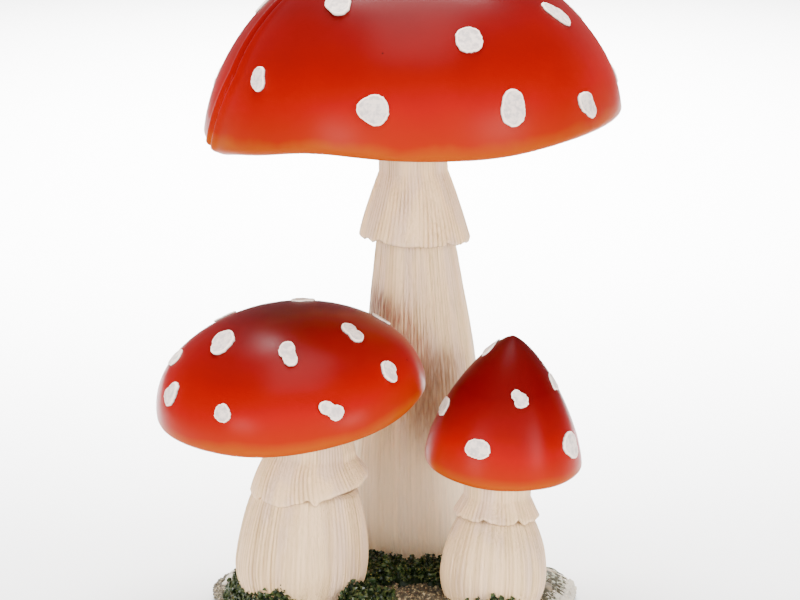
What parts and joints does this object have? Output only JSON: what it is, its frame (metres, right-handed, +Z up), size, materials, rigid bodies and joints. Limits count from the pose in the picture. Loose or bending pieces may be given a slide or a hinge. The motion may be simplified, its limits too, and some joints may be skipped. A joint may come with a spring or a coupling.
{
  "type": "mushroom cluster ornament",
  "caption": "Free-standing resin ornament of toadstools with spotted red caps, skirted cream stems and a mossy soil base with a felt underside.",
  "frame": {"origin": "middle of the felt underside, on the surface that the ornament stands on", "axes": "+Z up, +X to the right seen from the front, -Y towards the front, where the small toadstools stand"},
  "size_m": [0.1991, 0.2143, 0.285],
  "materials": {
    "soil": "rough cast soil, brown with pale grit",
    "felt": "die-cut felt",
    "moss": "lumpy cast moss, dark green with a glossy coat",
    "pebbles": "small rounded stones",
    "stems": "cream cast resin, finely grooved, ochre wash",
    "skirts": "cream cast resin, finely grooved, ochre wash",
    "rods": "plain drawn steel rod",
    "caps": "satin airbrushed resin, maroon at the crown, red, then orange at the rim",
    "gills": "cream cast resin with radial gills",
    "spots": "raised off-white spots, slightly rough"
  },
  "bodies": {
    "root": {"base_casting": "soil", "base_felt": "felt", "moss_centre": "moss", "moss_left": "moss", "moss_front": "moss", "moss_right": "moss", "moss_back": "moss", "moss_side": "moss", "pebbles": "pebbles", "tall_stem": "stems", "tall_rod": "rods", "tall_skirt": "skirts", "tall_cap": "caps", "tall_gills": "gills", "tall_spots": "spots", "left_stem": "stems", "left_rod": "rods", "left_skirt": "skirts", "left_cap": "caps", "left_gills": "gills", "left_spots": "spots", "right_stem": "stems", "right_rod": "rods", "right_skirt": "skirts", "right_cap": "caps", "right_gills": "gills", "right_spots": "spots"}
  },
  "joints": []
}
